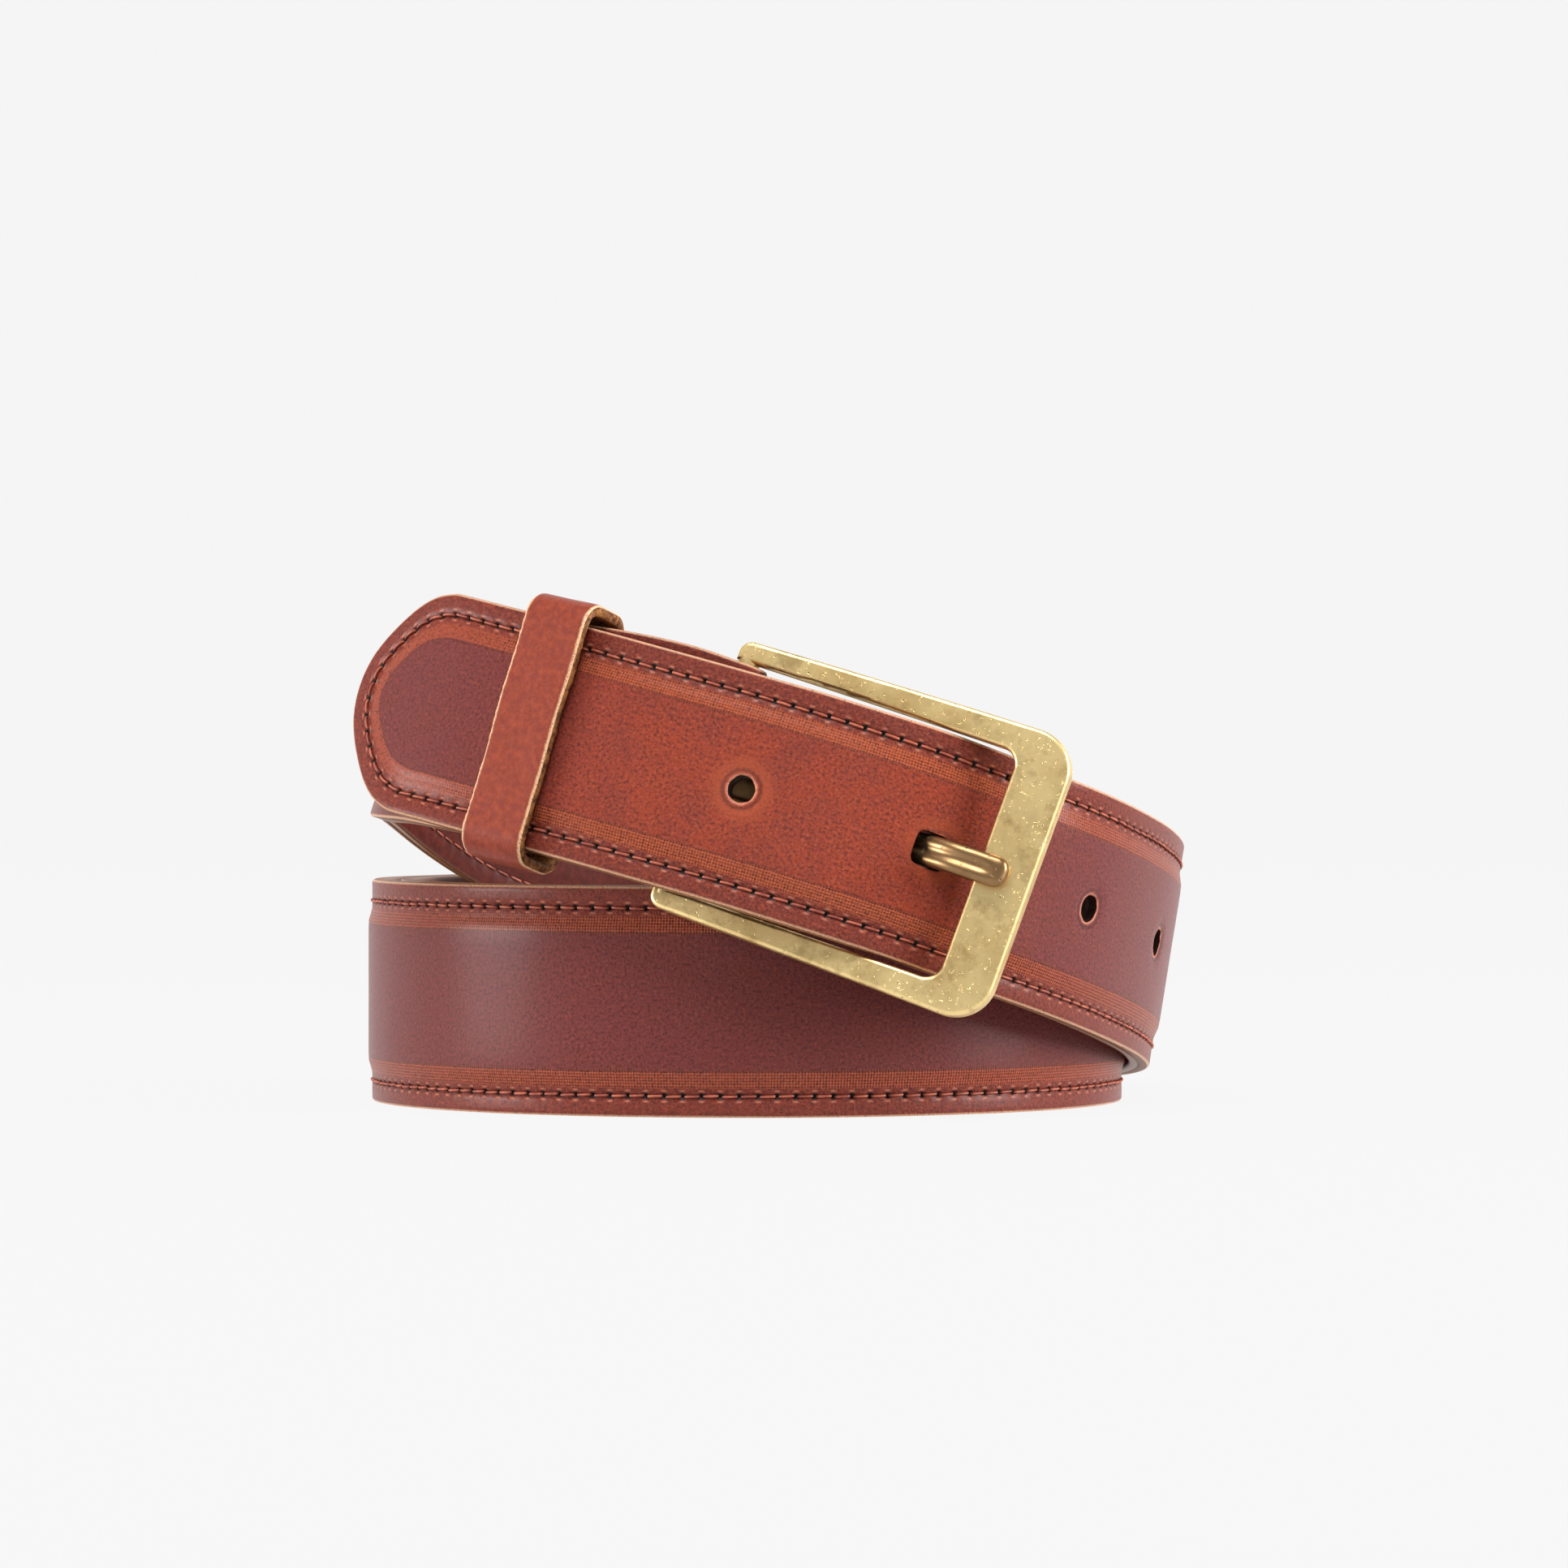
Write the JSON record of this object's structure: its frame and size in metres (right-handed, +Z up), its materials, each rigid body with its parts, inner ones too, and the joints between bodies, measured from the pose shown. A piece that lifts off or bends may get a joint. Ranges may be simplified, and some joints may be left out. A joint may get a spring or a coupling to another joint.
{
  "type": "leather belt",
  "caption": "Stitched leather dress belt with a flat rectangular prong buckle and one sliding keeper, buckled and coiled to stand on its edge.",
  "frame": {"origin": "middle of the coil's footprint, on the surface it stands on", "axes": "+X to the wearer-side right of the buckle's outer bar, +Y to the back away from the buckle, +Z up along the strap's width"},
  "size_m": [0.1304, 0.14, 0.0798],
  "materials": {
    "strap_leather": "waxed red-brown full-grain leather, darker centre panel, lighter margins",
    "lining_leather": "matt brown lining leather",
    "filler": "undyed leather filler board, hidden",
    "thread": "waxed brown thread",
    "brass": "brushed antique brass with small pits",
    "prong_brass": "worn antique brass",
    "keeper_leather": "waxed red-brown leather with raw edges",
    "staple_steel": "plain wire"
  },
  "bodies": {
    "strap": {"strap_outer": "strap_leather", "strap_filler": "filler", "strap_lining": "lining_leather", "top_thread": "thread", "bobbin_thread": "thread", "fold_stitching": "thread"},
    "buckle": {"buckle_frame": "brass"},
    "prong": {"prong": "prong_brass"},
    "keeper": {"keeper_loop": "keeper_leather", "keeper_staples": "staple_steel"}
  },
  "joints": [
    {"name": "frame_rock", "type": "hinge", "parent": "strap", "child": "buckle", "pos_m": [-0.00953, -0.05265, 0.05163], "axis": [-0.3419, -0.0963, -0.9348], "range_deg": [-0.3, 1]},
    {"name": "prong_lift", "type": "hinge", "parent": "buckle", "child": "prong", "pos_m": [-0.00953, -0.05265, 0.05163], "axis": [-0.3419, -0.0963, -0.9348], "range_deg": [0, 1.5]},
    {"name": "keeper_slide", "type": "slide", "parent": "strap", "child": "keeper", "axis": [0.8511, -0.4876, -0.1947], "range_m": [-0.004, 0.002]}
  ]
}
